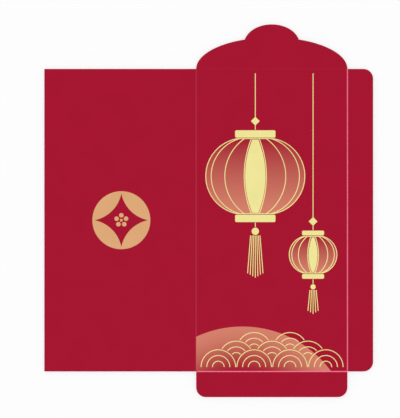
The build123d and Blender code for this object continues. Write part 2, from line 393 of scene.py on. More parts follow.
def front_inks(tree, x, y, colour):
    """Prints the hill and the lanterns' bodies over the red."""
    shares = [hill_glow(tree, x, y)] + [lantern_glow(tree, x, y, lantern) for lantern in lanterns]
    for share in shares:
        layers = {FACTOR: share, COLOUR_A: colour, COLOUR_B: linear(TINT)}
        colour = add(tree, "ShaderNodeMix", layers, MIXED, data_type="RGBA")
    return colour


# The same red paper with its screened tints: the glow shows through a varnish of the same sheen.
front_paper = red_print("red_coated_paper_with_tints", front_inks)
print("made", front_paper.name)

# %% [markdown]
# ## Bare paper
# Under the print the paper is off-white. The underside is uncoated, so it is softer and shows its
# fibres, and the die leaves the same paper bare along every cut edge, with a breath of ink dragged into
# it. One noise gives both their fibres, drawn as clumps because single fibres are too fine to show.

# %% Bare paper
FIBRE = 1.6  # length of a clump of fibres
FIBRE_DEPTH = 0.03 * MM
FIBRE_BUMP = 0.5
FIBRE_FUZZ = 0.7  # how strongly the finer layers of the noise show
BARE_SPECULAR = 0.15
UNDERSIDE_ROUGH = (0.67, 0.83)
EDGE_ROUGH = (0.72, 0.88)


def bare_paper(name, light, dark, rough):
    """Paper without ink, between two colours and two values of roughness."""
    made = new_material(name)
    tree = made.node_tree
    place = add(tree, "ShaderNodeAttribute", out="Vector", attribute_name="flat_place")
    clumps = {"Vector": place, "Scale": per(FIBRE), "Detail": FIBROUS, "Roughness": FIBRE_FUZZ}
    fibre = add(tree, "ShaderNodeTexNoise", clumps)
    layers = {FACTOR: fibre, COLOUR_A: linear(dark), COLOUR_B: linear(light)}
    colour = add(tree, "ShaderNodeMix", layers, MIXED, data_type="RGBA")
    coat(tree, colour, fibre, rough, FIBRE_BUMP, FIBRE_DEPTH, {"Specular IOR Level": BARE_SPECULAR})
    return made


# Uncoated paper: warm white, matt and fibrous. Cut edge: the same, torn finer and faintly pink.
underside = bare_paper("uncoated_paper", "#F1EBE3", "#E2DAD0", UNDERSIDE_ROUGH)
cut_edge = bare_paper("cut_paper_edge", "#E9D6CF", "#D5B7B0", EDGE_ROUGH)
print("made", underside.name, "and", cut_edge.name)

# %% [markdown]
# ## Rim of a cut edge
# A steel rule cuts the sheet from the printed side, so it pulls the top edge down a little and leaves
# the bottom edge sharp. A box with a Bevel modifier would round every edge alike. Instead, each panel
# is built from rings of points that follow its outline, one above the other, and only cut edges are
# drawn in from ring to ring: the edges that join a scored strip stay square, so that no gap opens
# there.

# %% Rim of a cut edge
RIM = [(0.015, 0.0), (0.0, 0.10), (0.0, 0.67), (0.02, 0.88), (0.07, 1.0)]  # inset in mm, share of height
INKED_RINGS = 2  # the red goes down the rounded rim as far as this ring
STRAIGHT = 1e-6  # two edges that turn by less than this are one line


def edge_normal(start, end):
    """Unit direction into the sheet, square to an edge of its outline."""
    along_x, along_y = end[0] - start[0], end[1] - start[1]
    long = math.hypot(along_x, along_y)
    return -along_y / long, along_x / long


def inset_corner(before, corner, after, inset):
    """Corner of the outline, drawn in from the cut edges beside it."""
    first_x, first_y = edge_normal(before, corner)
    second_x, second_y = edge_normal(corner, after)
    first, second = inset * before[2], inset * corner[2]
    turn = first_x * second_y - first_y * second_x
    if abs(turn) < STRAIGHT:
        return corner[0] + first_x * first, corner[1] + first_y * first
    x = corner[0] + (first * second_y - second * first_y) / turn
    y = corner[1] + (second * first_x - first * second_x) / turn
    return x, y


print(f"rim rounded over {RIM[-1][0]:.2f} mm in {len(RIM)} rings")

# %% [markdown]
# ## Paper pieces
# Every paper piece is a closed mesh whose faces are printed, cut or bare. A face that is hidden where
# two pieces join counts as printed, so that nothing pale shows in the joint. Each point also stores
# where it lies on the flat sheet, for the materials to read. A finished piece rides on its body in
# place of the CAD node, which stays behind it for the simulation.

# %% Paper pieces
PRINTED, CUT, BARE = 0, 1, 2  # numbers of a paper piece's finishes


def paper_piece(name, work, printed):
    """Object from a worked mesh whose faces are numbered by their finish."""
    bmesh.ops.recalc_face_normals(work, faces=work.faces)
    mesh = bpy.data.meshes.new(name)
    work.to_mesh(mesh)
    work.free()
    for finish in (printed, cut_edge, underside):
        mesh.materials.append(finish)
    stored = mesh.attributes.new("flat_place", "FLOAT_VECTOR", "POINT")
    for point, value in zip(mesh.vertices, stored.data):
        value.vector = point.co
    return new_object(name, mesh)


def settle(piece, body, node):
    """Lets a finished piece ride on its body in place of a CAD node."""
    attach(piece, body)
    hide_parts(node)
    print(f"{piece.name}: on {body}, for {node}, {len(piece.data.polygons)} faces")


print("paper pieces take", red_paper.name, "or its prints,", cut_edge.name, "and", underside.name)


# %% Panel builder
def die_cut_panel(name, outline, printed):
    """Panel from a counter-clockwise outline of (x, y, cut), where cut is 1 if a cut edge follows."""
    work = bmesh.new()
    rings = []
    for inset, share in RIM:
        ring = []
        for place, corner in enumerate(outline):
            after = outline[(place + 1) % len(outline)]
            x, y = inset_corner(outline[place - 1], corner, after, inset * MM)
            ring.append(work.verts.new((x, y, share * PAPER)))
        rings.append(ring)
    for level in range(len(rings) - 1):
        low, high = rings[level], rings[level + 1]
        for place in range(len(outline)):
            after = (place + 1) % len(outline)
            face = work.faces.new((low[place], low[after], high[after], high[place]))
            face.material_index = CUT if outline[place][2] and level < INKED_RINGS else PRINTED
    work.faces.new(rings[-1]).material_index = PRINTED
    work.faces.new(list(reversed(rings[0]))).material_index = BARE
    return paper_piece(name, work, printed)


def panel(node, body, outline, printed=red_paper):
    """Cuts the sheet of a panel and sets it in place of its CAD node."""
    settle(die_cut_panel(f"{node}_sheet", outline, printed), body, node)


print("panels have", len(RIM), "rings of points")

# %% [markdown]
# ## Front, back and the straight flaps
# The CAD boxes give these panels' sizes. The front has no cut edge of its own: all four sides go on
# into scored strips. The flaps' outer corners are rounded, so that they slide in without catching.

# %% Straight panels
CORNER_STEPS = 10
CORNER_RADIUS = 5.3 * MM


def quarter_arc(x, y, radius, start):
    """Points of a quarter circle about x and y, from a start angle in degrees."""
    angles = [math.radians(start + 90 * step / CORNER_STEPS) for step in range(CORNER_STEPS + 1)]
    return [(x + radius * math.cos(a), y + radius * math.sin(a)) for a in angles]


def round_corner(x, y, start):
    """Rounded corner of a flap, as cut edge."""
    return [(*point, 1) for point in quarter_arc(x, y, CORNER_RADIUS, start)]


low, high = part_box("front_panel")
outline = [(low.x, low.y, 0), (high.x, low.y, 0), (high.x, high.y, 0), (low.x, high.y, 0)]
panel("front_panel", "front", outline, front_paper)

low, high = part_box("back_panel")
outline = [(low.x, low.y, 1), (high.x, low.y, 0), (high.x, high.y, 1), (low.x, high.y, 1)]
panel("back_panel", "back", outline)

low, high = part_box("side_flap")
lower = round_corner(high.x - CORNER_RADIUS, low.y + CORNER_RADIUS, -90)
upper = round_corner(high.x - CORNER_RADIUS, high.y - CORNER_RADIUS, 0)
outline = [(low.x, low.y, 1)] + lower + upper + [(low.x, high.y, 0)]
panel("side_flap", "side", outline)

low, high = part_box("bottom_flap")
left = round_corner(low.x + CORNER_RADIUS, low.y + CORNER_RADIUS, 180)
right = round_corner(high.x - CORNER_RADIUS, low.y + CORNER_RADIUS, 270)
outline = left + right + [(high.x, high.y, 0), (low.x, high.y, 1)]
panel("bottom_flap", "bottom", outline)

# %% [markdown]
# ## Top flap
# The top flap has two elliptical shoulders and a rounded lobe between them, which tucks into the
# pocket. It could be traced with a curve, but both parts are ellipses, so their sizes draw it. The
# place where a shoulder runs into the lobe is found by halving the shoulder's arc until it meets the
# lobe's ellipse.

# %% Top flap
SHOULDER_RISE = 17.2 * MM
LOBE_HALF_WIDTH = 15.2 * MM
LOBE_HALF_HEIGHT = 10.9 * MM
CURVE_STEPS = 48
HALVINGS = 40
low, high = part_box("top_flap")
lobe_y = high.y - LOBE_HALF_HEIGHT


def shoulder(angle):
    """Point of the right shoulder's ellipse."""
    return (RIGHT - LEFT) / 2 * math.cos(angle), TOP + SHOULDER_RISE * math.sin(angle)


begin = math.asin((low.y - TOP) / SHOULDER_RISE)
outside, inside = begin, math.pi / 2
for _ in range(HALVINGS):
    middle = (outside + inside) / 2
    x, y = shoulder(middle)
    within = (x / LOBE_HALF_WIDTH) ** 2 + ((y - lobe_y) / LOBE_HALF_HEIGHT) ** 2 < 1
    outside, inside = (outside, middle) if within else (middle, inside)
x, y = shoulder(outside)
lobe_begin = math.atan2((y - lobe_y) / LOBE_HALF_HEIGHT, x / LOBE_HALF_WIDTH)
sweep = math.pi - 2 * lobe_begin
right = [shoulder(begin + (outside - begin) * step / CURVE_STEPS) for step in range(CURVE_STEPS)]
turns = [lobe_begin + sweep * step / CURVE_STEPS for step in range(CURVE_STEPS + 1)]
lobe = [(LOBE_HALF_WIDTH * math.cos(t), lobe_y + LOBE_HALF_HEIGHT * math.sin(t)) for t in turns]
left = [(-x, y) for x, y in reversed(right)]
outline = [(x, y, 1) for x, y in right + lobe + left]
outline[-1] = (*left[-1], 0)
panel("top_flap", "top", outline)
print(f"shoulders meet the lobe {abs(x) / MM:.1f} mm from the middle")

# %% [markdown]
# ## Scored paper
# A blunt rule presses a score along each crease, so that the sheet bends there and nowhere else. The
# ink cracks in the score and lets stained fibres show, most on the creases that were worked most. A
# number stored on the strips' points says how far the ink has gone, and a fine noise leaves flakes of
# it in place.

# %% Scored paper
CRACKED = "#FF7F9D"  # paper fibres stained by the ink
FLAKE = 0.7  # size of the flakes of ink that are left, drawn coarser than the real ones
FLAKE_COVER = 0.25  # most that a flake hides of the crack
FLAKE_RISE = (0.35, 0.55)  # values of the noise between which a flake thins out


def cracked_inks(tree, x, y, colour):
    """Prints the front's design, and lets the fibres show where its ink has cracked."""
    whole = front_inks(tree, x, y, colour)
    place = add(tree, "ShaderNodeAttribute", out="Vector", attribute_name="flat_place")
    crack = add(tree, "ShaderNodeAttribute", out="Fac", attribute_name="cracked")
    flakes = add(tree, "ShaderNodeTexNoise", {"Vector": place, "Scale": per(FLAKE), "Detail": MOTTLED})
    rise = {"From Min": FLAKE_RISE[0], "From Max": FLAKE_RISE[1], "To Min": 1 - FLAKE_COVER}
    bare = add(tree, "ShaderNodeMapRange", {"Value": flakes, **rise})
    share = add(tree, "ShaderNodeMath", {0: crack, 1: bare}, operation="MULTIPLY")
    layers = {FACTOR: share, COLOUR_A: whole, COLOUR_B: linear(CRACKED)}
    return add(tree, "ShaderNodeMix", layers, MIXED, data_type="RGBA")


# The red paper again, with a pale, uneven line of bare fibres where the ink has cracked.
scored_paper = red_print("scored_red_paper", cracked_inks)
print("made", scored_paper.name)

# %% [markdown]
# ## Sections of a strip
# Each crease is a narrow strip of its own, because it is the only part of the sheet that bends. A strip
# is a row of cross-sections from the front to the flap, with a groove above and a low ridge below where
# the rule pressed. A strip at the top or bottom is as wide as its flap beyond the crease, and before it
# fits between the upright strips. Ends that the die cut have the same rounded rim as the panels.

# %% Crease sizes
SCORE_HALF = 0.20 * MM
SCORE_DEPTH = 0.10 * MM
RIDGE = 0.04 * MM
RIDGE_HALF = 0.28 * MM


class Crease:
    """A crease: its strip's box, the flap beyond it, and outward, the way from the front to that flap."""

    def __init__(self, node, flap, outward):
        self.node, self.flap, self.outward = node, flap, outward
        self.low, self.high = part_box(node)
        self.middle = (self.low + self.high) / 2
        self.upright = outward[0] != 0
        size = self.high - self.low
        self.width = size.x if self.upright else size.y

    def spot(self, side, along, level):
        """Point of the strip, from how far beyond the crease it lies, how far along it, and its height."""
        if self.upright:
            return self.middle.x + self.outward[0] * side, along, level
        return along, self.middle.y + self.outward[1] * side, level

    def ends(self, side, beyond):
        """Where a section begins and ends along the crease, before the crease or beyond it."""
        if self.upright:
            return self.low.y, self.high.y
        if not beyond:
            low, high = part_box("front_panel")
            return low.x, high.x
        half = (RIGHT - LEFT) / 2
        if self.flap == "top":
            half *= math.sqrt(1 - (side / SHOULDER_RISE) ** 2)
        return -half, half

    def levels(self, side):
        """Heights of a section's underside and printed side."""
        press = max(0.0, 1 - (side / SCORE_HALF) ** 2)
        swell = max(0.0, 1 - (side / RIDGE_HALF) ** 2)
        return -RIDGE * swell, PAPER - SCORE_DEPTH * press


print(f"score {2 * SCORE_HALF / MM:.2f} mm wide and {SCORE_DEPTH / MM:.2f} mm deep")


# %% Section builder
def section(work, crease, side, beyond):
    """Points up both ends of a cross-section; beyond is 1 past the crease, where the ends are cut, or 0."""
    columns = []
    bottom, top = crease.levels(side)
    for end, inward in zip(crease.ends(side, beyond), (beyond, -beyond)):
        column = []
        for inset, share in RIM:
            level = bottom + (top - bottom) * share
            column.append(work.verts.new(crease.spot(side, end + inward * inset * MM, level)))
        columns.append(column)
    return columns


def close_section(work, columns):
    """Face over a whole cross-section: up its first end, along the top, down its last end and back."""
    ring = columns[0] + [column[-1] for column in columns[1:-1]] + columns[-1][::-1]
    work.faces.new(ring + [column[0] for column in columns[-2:0:-1]])


def join_sections(work, before, after, cut):
    """Faces between two cross-sections, above, below and up their ends."""
    for place in range(len(before) - 1):
        for level, finish in ((-1, PRINTED), (0, BARE)):
            ring = [before[place], before[place + 1], after[place + 1], after[place]]
            face = work.faces.new([column[level] for column in ring])
            face.smooth = True
            face.material_index = finish
    for first, second in ((before[0], after[0]), (before[-1], after[-1])):
        for level in range(len(RIM) - 1):
            face = work.faces.new((first[level], second[level], second[level + 1], first[level + 1]))
            face.material_index = CUT if cut and level < INKED_RINGS else PRINTED


print("a section has", 2 * len(RIM), "points at its ends")

# %% [markdown]
# ## From sections to strips
# The sections before the crease lie towards the front, and those beyond it towards the flap. At the crease
# a top or bottom strip steps out to its flap's width.

# %% Halves of a strip
HALF_STEPS = 12  # sections on each side of a crease


def front_half(work, crease):
    """Sections from the front to the crease; returns the last one."""
    before = None
    for step in range(-HALF_STEPS, 1):
        after = section(work, crease, crease.width / 2 * step / HALF_STEPS, 0)
        if before:
            join_sections(work, before, after, False)
        else:
            close_section(work, after)
        before = after
    return before


def flap_half(work, crease, before):
    """Sections from the crease to the flap, after the one at the crease."""
    inner = crease.ends(0.0, 0)
    if not crease.upright:
        outer = section(work, crease, 0.0, 1)
        for near, far in zip(before, outer):
            work.faces.new(near + far[::-1])
        before = [outer[0], *before, outer[1]]
    for step in range(1, HALF_STEPS + 1):
        side = crease.width / 2 * step / HALF_STEPS
        after = section(work, crease, side, 1)
        if not crease.upright:
            levels = crease.levels(side)
            pairs = [[work.verts.new(crease.spot(side, end, level)) for level in levels] for end in inner]
            after = [after[0], *pairs, after[1]]
        join_sections(work, before, after, True)
        before = after
    close_section(work, before)


print("a strip has", 2 * HALF_STEPS, "steps from the front to its flap")

# %% Strips
OUTWARD = {"side": (1, 0), "back": (-1, 0), "bottom": (0, -1), "top": (0, 1)}
CRACKED_SHARE = {"side": 0.90, "back": 0.12, "bottom": 1.0, "top": 0.02}
CRACK_HALF = 0.32 * MM  # the ink cracks a little beyond the score
CRACK_EDGE = 0.08 * MM


def scored_strip(name, crease, cracked):
    """Strip of a crease from the front to its flap; cracked says how far the ink has gone."""
    work = bmesh.new()
    flap_half(work, crease, front_half(work, crease))
    for edge in work.edges:
        edge.smooth = all(face.smooth for face in edge.link_faces)
    torn = work.verts.layers.float.new("cracked")
    for point in work.verts:
        aside = point.co - crease.middle
        side = abs(aside.x if crease.upright else aside.y)
        point[torn] = cracked * min(1.0, max(0.0, (CRACK_HALF - side) / CRACK_EDGE))
    strip = paper_piece(name, work, scored_paper)
    half = crease.width / 2
    start, end = crease.spot(-half, 0, 0), crease.spot(half, 0, 0)
    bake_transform(strip)
    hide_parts(crease.node)
    print(f"{name}: {crease.width / MM:.2f} mm wide, {len(strip.data.polygons)} faces")


for flap, outward in OUTWARD.items():
    scored_strip(f"{flap}_score", Crease(f"{flap}_crease", flap, outward), CRACKED_SHARE[flap])

# %% [markdown]
# ## Foil
# Hot stamping presses a metallised film onto the paper with a heated die. The film is metal in how it
# reflects, but it takes on the paper's tooth, so it gleams softly and never mirrors. A smooth metal
# would look like a sheet of brass laid on the paper, so the roughness and the colour wander a little,
# where the pressure varied.

# %% Foil finishes
FOIL_TOOTH = 1.1  # drawn coarser than the paper fibres that show through the film
FOIL_CLOUD = 9.0
FOIL_BUMP = 0.4
FOIL_ROUGH = (0.28, 0.46)


def stamped_foil(name, light, dark):
    """Metallised film between two colours, with the paper's tooth in it."""
    made = new_material(name)
    tree = made.node_tree
    place = add(tree, "ShaderNodeTexCoord", out="Object")
    cloud = add(tree, "ShaderNodeTexNoise", {"Vector": place, "Scale": per(FOIL_CLOUD), "Detail": SMOOTH})
    layers = {FACTOR: cloud, COLOUR_A: linear(dark), COLOUR_B: linear(light)}
    colour = add(tree, "ShaderNodeMix", layers, MIXED, data_type="RGBA")
    tooth = add(tree, "ShaderNodeTexNoise", {"Vector": place, "Scale": per(FOIL_TOOTH), "Detail": MOTTLED})
    coat(tree, colour, tooth, FOIL_ROUGH, FOIL_BUMP, TOOTH_DEPTH, {"Metallic": 1.0})
    return made


# Rose gold film on the back: a warm, muted gleam. Pale gold film on the front: lighter and greener.
rose_gold = stamped_foil("rose_gold_foil", "#DEAB7D", "#D4A171")
pale_gold = stamped_foil("pale_gold_foil", "#EFE79E", "#E6DC8F")
print("made", rose_gold.name, "and", pale_gold.name)

# %% [markdown]
# ## Foil in solid shapes
# The coin, the lanterns' caps, their middle panes and the cords with their knots are solid areas of
# foil. Each is drawn as flat closed lines, which Blender's curves fill, thicken and bevel, holes
# included. That saves building the faces between an outline and its holes by hand. The result becomes a
# plain mesh that lies on the paper.

# %% Filled loops
FOIL_BEVEL = 0.008 * MM


def filled_loops(name, loops, thick):
    """Curve from loops of (x, y) in mm, filled, thick and bevelled; a loop inside another is a hole."""
    drawing = bpy.data.curves.new(name, "CURVE")
    drawing.dimensions = "2D"
    drawing.fill_mode = "BOTH"
    drawing.bevel_depth = FOIL_BEVEL
    drawing.bevel_resolution = 0
    drawing.offset = -FOIL_BEVEL
    drawing.extrude = thick / 2 - FOIL_BEVEL
    for loop in loops:
        spline = drawing.splines.new("POLY")
        spline.points.add(len(loop) - 1)
        for point, (x, y) in zip(spline.points, loop):
            point.co = (x * MM, y * MM, 0, 1)
        spline.use_cyclic_u = True
    return new_object(name, drawing)


print(f"foil {FILM / MM:.3f} mm thick, bevelled by {FOIL_BEVEL / MM:.3f} mm")

# %% Solid foil
SAME_POINT = 0.0005 * MM


def plain_mesh(name, drawn, finish):
    """Mesh of what an object's curves or modifiers make, in one finish."""
    made = drawn.evaluated_get(bpy.context.evaluated_depsgraph_get())
    mesh = bpy.data.meshes.new_from_object(made)
    mesh.name = name
    mesh.materials.clear()
    mesh.materials.append(finish)
    return mesh


def flat_film(name, loops, low, high, finish):
    """Closed mesh between two heights, from loops that are filled."""
    drawn = filled_loops(name, loops, high - low)
    drawing = drawn.data
    mesh = plain_mesh(name, drawn, finish)
    bpy.data.objects.remove(drawn)
    bpy.data.curves.remove(drawing)
    work = bmesh.new()
    work.from_mesh(mesh)
    bmesh.ops.remove_doubles(work, verts=work.verts, dist=SAME_POINT)
    bmesh.ops.translate(work, verts=work.verts, vec=(0, 0, (low + high) / 2))
    bmesh.ops.recalc_face_normals(work, faces=work.faces)
    for face in work.faces:
        face.smooth = False
    work.to_mesh(mesh)
    work.free()
    return new_object(name, mesh)


print(f"points nearer than {SAME_POINT / MM:.4f} mm are merged")

# %% [markdown]
# ## Coin on the back
# An old coin pattern: a disc with a star-shaped hole. Each side of the star is an arc of a circle,
# through two tips and the waist between them, so one side is worked out from those sizes and turned
# round the middle.

# %% Coin
low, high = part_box("coin_foil")
COIN_X = (low.x + high.x) / 2 / MM
COIN_RADIUS = (high.x - low.x) / 2 / MM
STAR_SIDES = 4
STAR_TIP = 14.6
STAR_WAIST = 7.2
CIRCLE_STEPS = 128
STAR_STEPS = 24


def star_side(turn):
    """Side of the star from one tip to the next."""
    half_side = math.pi / STAR_SIDES
    chord = STAR_TIP * math.sin(half_side)
    sag = STAR_TIP * math.cos(half_side) - STAR_WAIST
    radius = (chord**2 + sag**2) / (2 * sag)
    half = math.asin(chord / radius)
    turned = half_side * (1 + 2 * turn)
    points = []
    for step in range(STAR_STEPS):
        angle = math.pi + half * (1 - 2 * step / STAR_STEPS)
        along = STAR_WAIST + radius + radius * math.cos(angle)
        across = radius * math.sin(angle)
        x = along * math.cos(turned) - across * math.sin(turned)
        y = along * math.sin(turned) + across * math.cos(turned)
        points.append((COIN_X + x, y))
    return points


turns = [2 * math.pi * step / CIRCLE_STEPS for step in range(CIRCLE_STEPS)]
disc = [(COIN_X + COIN_RADIUS * math.cos(t), COIN_RADIUS * math.sin(t)) for t in turns]
star = [point for turn in range(STAR_SIDES) for point in star_side(turn)]
coin = flat_film("coin_stamp", [disc, star], PAPER, PAPER + FILM, rose_gold)
settle(coin, "back", "coin_foil")

# %% [markdown]
# ## Panes of the lanterns
# The pane between the two middle ribs is stamped solid. It keeps a hair of bare paper all round,
# because foil that touches would run together under the die.

# %% Panes
FIRST_RIB = 13.0  # degrees that the first rib lies round the lantern
ARC_STEPS = 40


def pane(lantern):
    """Outline of a pane: an arc from the lower neck to the upper one, and its mirror image."""
    inset = LINE / 2 + GAP
    share = math.sin(math.radians(FIRST_RIB))
    neck = share * lantern.neck - inset
    belly = share * lantern.half_width - inset
    top = lantern.half_height - inset
    radius = (top**2 + (belly - neck) ** 2) / (2 * (belly - neck))
    reach = math.asin(top / radius)
    angles = [reach * (2 * step / ARC_STEPS - 1) for step in range(ARC_STEPS + 1)]
    right = [(belly - radius + radius * math.cos(a), radius * math.sin(a)) for a in angles]
    left = [(-x, y) for x, y in reversed(right)]
    return [(lantern.x + x, lantern.y + y) for x, y in right + left]


panes = flat_film("lantern_panes", [pane(one) for one in lanterns], PAPER, PAPER + FILM, pale_gold)
settle(panes, "front", "lantern_panes_foil")

# %% [markdown]
# ## Caps and cords of the lanterns
# A cap closes each lantern above and below, and a cord with a diamond knot hangs it from the top of the
# front.

# %% Caps
CAP_CORNER = 0.8


def cap(lantern, side):
    """Outline of a cap with rounded corners, above a lantern for side 1 or below it for -1."""
    half = lantern.neck + lantern.overhang - CAP_CORNER
    tall = lantern.cap_height / 2 - CAP_CORNER
    middle = lantern.y + side * (lantern.cap_end - lantern.cap_height / 2)
    points = []
    for x, y, start in ((half, tall, 0), (-half, tall, 90), (-half, -tall, 180), (half, -tall, 270)):
        points += quarter_arc(lantern.x + x, middle + y, CAP_CORNER, start)
    return points


outlines = [cap(one, side) for one in lanterns for side in (1, -1)]
caps = flat_film("lantern_caps", outlines, PAPER, PAPER + FILM, pale_gold)
settle(caps, "front", "lantern_caps_foil")

# %% Cords
KNOT_HALF = 2.4
KNOT_RISE = 5.0
EDGE_MARGIN = 1.5
face_low, face_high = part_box("front_panel")


def cord(lantern):
    """Outline of a cord from a lantern's cap to the top of the front, with its knot."""
    low = lantern.y + lantern.cap_end + GAP
    knot = lantern.y + lantern.cap_end + KNOT_RISE
    high = face_high.y / MM - EDGE_MARGIN
    half = LINE / 2
    slope = KNOT_HALF - half
    right = [(half, low), (half, knot - slope), (KNOT_HALF, knot), (half, knot + slope), (half, high)]
    left = [(-x, y) for x, y in reversed(right)]
    return [(lantern.x + x, y) for x, y in right + left]


cords = flat_film("lantern_cords", [cord(one) for one in lanterns], PAPER, PAPER + FILM, pale_gold)
settle(cords, "front", "lantern_cords_foil")

# %% [markdown]
# ## Foil in lines
# The ribs, the tassels' strands, the waves and the blossom's petals repeat, so Geometry Nodes draw
# them. A foil line is a curve swept with a low trapezoid, because the die squeezes the film out a
# little at its foot, and a round piece is a low cone frustum for the same reason. Each tree adds its
# shapes to what comes in, so one object can carry the tree twice with other sizes.


# %% Trees and foil lines
def new_tree(name, sizes):
    """Geometry Nodes tree with a geometry input and named sizes; returns it with its input sockets."""
    tree = bpy.data.node_groups.new(name, "GeometryNodeTree")
    tree.interface.new_socket("Geometry", in_out="OUTPUT", socket_type="NodeSocketGeometry")
    tree.interface.new_socket("Geometry", in_out="INPUT", socket_type="NodeSocketGeometry")
    for size in sizes:
        kind = "NodeSocketInt" if size.startswith("Number") else "NodeSocketFloat"
        tree.interface.new_socket(size, in_out="INPUT", socket_type=kind)
    return tree, add(tree, "NodeGroupInput").node.outputs


def foil_line(tree, curve):
    """Sweeps a curve with the section of a foil line."""
    widths = {"Height": FILM, "Bottom Width": LINE * MM - FILM, "Top Width": LINE * MM, "Offset": 0.0}
    shape = add(tree, "GeometryNodeCurvePrimitiveQuadrilateral", widths, mode="TRAPEZOID")
    upright = add(tree, "GeometryNodeSetCurveNormal", {"Curve": curve}, mode="Z_UP")
    swept = {"Curve": upright, "Profile Curve": shape, "Fill Caps": True}
    return add(tree, "GeometryNodeCurveToMesh", swept)


def foil_disc(tree, radius, steps):
    """Round piece of foil about the origin, with a sloping rim."""
    upper = add(tree, "ShaderNodeMath", {0: radius, 1: FILM / 2}, operation="SUBTRACT")
    frustum = {"Vertices": steps, "Radius Top": upper, "Radius Bottom": radius, "Depth": FILM}
    lowered = {"Geometry": add(tree, "GeometryNodeMeshCone", frustum), "Translation": (0, 0, -FILM / 2)}
    return add(tree, "GeometryNodeTransform", lowered)


print(f"foil lines {LINE} mm wide")


# %% Close and grow a tree
def close_tree(tree, incoming, shapes, finish, centre=(0.0, 0.0)):
    """Lifts the shapes onto the paper, adds them to what came in, realizes all and gives it its foil."""
    joined = add(tree, "GeometryNodeJoinGeometry", {"Geometry": shapes})
    place = add(tree, "ShaderNodeCombineXYZ", {"X": centre[0], "Y": centre[1], "Z": PAPER + FILM / 2})
    lifted = add(tree, "GeometryNodeTransform", {"Geometry": joined, "Translation": place})
    every = add(tree, "GeometryNodeJoinGeometry", {"Geometry": [incoming, lifted]})
    real = add(tree, "GeometryNodeRealizeInstances", {"Geometry": every})
    done = add(tree, "GeometryNodeSetMaterial", {"Geometry": real, "Material": finish})
    add(tree, "NodeGroupOutput", {"Geometry": done})


def grow(name, tree, size_sets, finish):
    """Runs the tree once for each set of sizes and keeps the result as a plain mesh."""
    grown = new_object(name, bpy.data.meshes.new(f"{name}_seed"))
    sockets = {item.name: item.identifier for item in tree.interface.items_tree if item.in_out == "INPUT"}
    for sizes in size_sets:
        step = grown.modifiers.new("foil", "NODES")
        step.node_group = tree
        for size, value in sizes.items():
            step[sockets[size]] = value if size.startswith("Number") else float(value) * MM
    mesh = plain_mesh(name, grown, finish)
    grown.modifiers.clear()
    grown.data = mesh
    return grown


print(f"foil rises from {PAPER / MM:.2f} to {(PAPER + FILM) / MM:.2f} mm")

# %% [markdown]
# ## Lantern ribs
# Seen from the front, wires round a lantern bunch up towards its sides, by the sine of how far round
# they lie. Each rib is an arc through three points, from neck to belly to neck. The other half of the
# lantern is the same half turned by half a turn. All the lines are united, so that no two films lie in
# the same place where they meet.

# %% Rib tree
RIB_ANGLES = (FIRST_RIB, 38.0, 63.0, 90.0)
RIB_POINTS = 49

ribs, sizes = new_tree("lantern_ribs", ["Centre X", "Centre Y", "Half width", "Half height", "Neck"])
tall = sizes["Half height"]
down = add(ribs, "ShaderNodeMath", {0: tall, 1: -1.0}, operation="MULTIPLY")
lines = []
for angle in RIB_ANGLES:
    share = math.sin(math.radians(angle))
    neck = add(ribs, "ShaderNodeMath", {0: sizes["Neck"], 1: share}, operation="MULTIPLY")
    belly = add(ribs, "ShaderNodeMath", {0: sizes["Half width"], 1: share}, operation="MULTIPLY")
    through = {
        "Start": add(ribs, "ShaderNodeCombineXYZ", {"X": neck, "Y": tall}),
        "Middle": add(ribs, "ShaderNodeCombineXYZ", {"X": belly}),
        "End": add(ribs, "ShaderNodeCombineXYZ", {"X": neck, "Y": down}),
    }
    rib = add(ribs, "GeometryNodeCurveArc", {"Resolution": RIB_POINTS, **through}, mode="POINTS")
    lines.append(foil_line(ribs, rib))
far_neck = add(ribs, "ShaderNodeMath", {0: sizes["Neck"], 1: -1.0}, operation="MULTIPLY")
first = add(ribs, "ShaderNodeCombineXYZ", {"X": far_neck, "Y": tall})
last = add(ribs, "ShaderNodeCombineXYZ", {"X": sizes["Neck"], "Y": tall})
tie = add(ribs, "GeometryNodeCurvePrimitiveLine", {"Start": first, "End": last})
lines.append(foil_line(ribs, tie))
unite = {"operation": "UNION", "solver": "MANIFOLD"}
half = add(ribs, "GeometryNodeMeshBoolean", {"Mesh 2": lines}, **unite)
turned = add(ribs, "GeometryNodeTransform", {"Geometry": half, "Rotation": (0, 0, math.pi)})
whole = add(ribs, "GeometryNodeMeshBoolean", {"Mesh 2": [half, turned]}, **unite)
close_tree(ribs, sizes["Geometry"], [whole], pale_gold, (sizes["Centre X"], sizes["Centre Y"]))
print("rib tree:", len(ribs.nodes), "nodes")

# %% Ribs
for lantern in lanterns:
    values = {
        "Centre X": lantern.x,
        "Centre Y": lantern.y,
        "Half width": lantern.half_width,
        "Half height": lantern.half_height,
        "Neck": lantern.neck,
    }
    grown = grow(lantern.node.replace("_foil", "_ribs"), ribs, [values], pale_gold)
    settle(grown, "front", lantern.node)

# %% [markdown]
# ## Strands of a tassel
# A tassel's strands spread a little towards their tips, and the outer ones are shorter. Drawing each by
# hand would fix their number, so one line of unit length is copied onto a row of points. Each copy's
# number says how far it is from the middle, and from that the tree works out its lean and its length.

# %% Strands
ROOT_PITCH = 0.85
TIP_PITCH = 1.40
STRAND_STEP = 0.8

